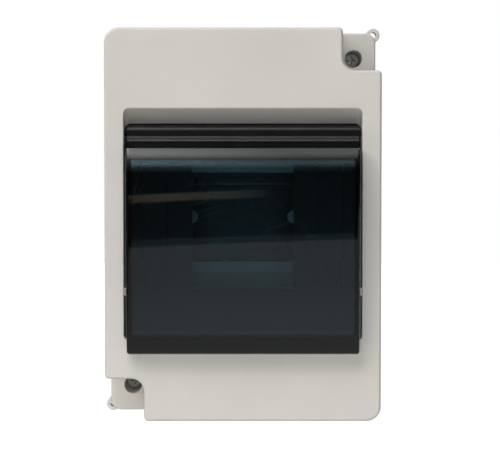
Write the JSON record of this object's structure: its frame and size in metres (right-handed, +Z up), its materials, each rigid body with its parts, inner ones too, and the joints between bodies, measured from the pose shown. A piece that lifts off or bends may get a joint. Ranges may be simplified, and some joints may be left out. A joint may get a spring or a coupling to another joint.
{
  "type": "dc combiner box",
  "caption": "Wall-mounted DIN-rail combiner enclosure with a smoked flip-up door over the device window, notched cover corners and sealing lugs",
  "frame": {"origin": "centre of the back face of the base, on the wall plane", "axes": "+X to the right seen from the front, +Y into the wall, +Z up"},
  "size_m": [0.1016, 0.0775, 0.1427],
  "materials": {
    "shell_plastic": "light warm grey moulded ABS, fine spark texture",
    "smoked_plastic": "smoked see-through polycarbonate, polished",
    "black_plastic": "black moulded plastic",
    "white_plastic": "white moulded plastic",
    "zinc_steel": "zinc plated rolled steel",
    "screw_steel": "dull zinc plated steel",
    "terminal_brass": "sawn and drilled brass, bare",
    "red_plastic": "red polyamide",
    "blue_plastic": "blue polyamide",
    "grommet_rubber": "grey soft rubber"
  },
  "bodies": {
    "wall_box": {"base": "shell_plastic", "rail_support": "white_plastic", "din_rail": "zinc_steel", "rail_screw_left": "screw_steel", "rail_screw_right": "screw_steel", "positive_holder": "red_plastic", "negative_holder": "blue_plastic", "positive_bar": "terminal_brass", "negative_bar": "terminal_brass", "grommet_left": "grommet_rubber", "grommet_right": "grommet_rubber"},
    "cover": {"cover": "shell_plastic", "window_plate": "black_plastic", "blank_left": "black_plastic", "blank_right": "black_plastic"},
    "door": {"door": "smoked_plastic"},
    "cover_screw_upper": {"cover_screw_upper": "screw_steel"},
    "cover_screw_lower": {"cover_screw_lower": "screw_steel"},
    "positive_clamp_1": {"positive_screw_1": "screw_steel"},
    "positive_clamp_2": {"positive_screw_2": "screw_steel"},
    "positive_clamp_3": {"positive_screw_3": "screw_steel"},
    "positive_clamp_4": {"positive_screw_4": "screw_steel"},
    "negative_clamp_1": {"negative_screw_1": "screw_steel"},
    "negative_clamp_2": {"negative_screw_2": "screw_steel"},
    "negative_clamp_3": {"negative_screw_3": "screw_steel"},
    "negative_clamp_4": {"negative_screw_4": "screw_steel"}
  },
  "joints": [
    {"name": "cover_lift", "type": "slide", "parent": "wall_box", "child": "cover", "axis": [0, -1, 0], "range_m": [0, 0.05]},
    {"name": "door_hinge", "type": "hinge", "parent": "cover", "child": "door", "pos_m": [0, -0.0634, 0.0325], "axis": [-1, 0, 0], "range_deg": [0, 95]},
    {"name": "upper_screw_out", "type": "slide", "parent": "cover", "child": "cover_screw_upper", "axis": [0, -1, 0], "range_m": [0, 0.024]},
    {"name": "lower_screw_out", "type": "slide", "parent": "cover", "child": "cover_screw_lower", "axis": [0, -1, 0], "range_m": [0, 0.024]},
    {"name": "positive_clamp_1_travel", "type": "slide", "parent": "wall_box", "child": "positive_clamp_1", "axis": [0, 1, 0], "range_m": [-0.0015, 0.002]},
    {"name": "positive_clamp_2_travel", "type": "slide", "parent": "wall_box", "child": "positive_clamp_2", "axis": [0, 1, 0], "range_m": [-0.0015, 0.002]},
    {"name": "positive_clamp_3_travel", "type": "slide", "parent": "wall_box", "child": "positive_clamp_3", "axis": [0, 1, 0], "range_m": [-0.0015, 0.002]},
    {"name": "positive_clamp_4_travel", "type": "slide", "parent": "wall_box", "child": "positive_clamp_4", "axis": [0, 1, 0], "range_m": [-0.0015, 0.002]},
    {"name": "negative_clamp_1_travel", "type": "slide", "parent": "wall_box", "child": "negative_clamp_1", "axis": [0, 1, 0], "range_m": [-0.0015, 0.002]},
    {"name": "negative_clamp_2_travel", "type": "slide", "parent": "wall_box", "child": "negative_clamp_2", "axis": [0, 1, 0], "range_m": [-0.0015, 0.002]},
    {"name": "negative_clamp_3_travel", "type": "slide", "parent": "wall_box", "child": "negative_clamp_3", "axis": [0, 1, 0], "range_m": [-0.0015, 0.002]},
    {"name": "negative_clamp_4_travel", "type": "slide", "parent": "wall_box", "child": "negative_clamp_4", "axis": [0, 1, 0], "range_m": [-0.0015, 0.002]}
  ]
}
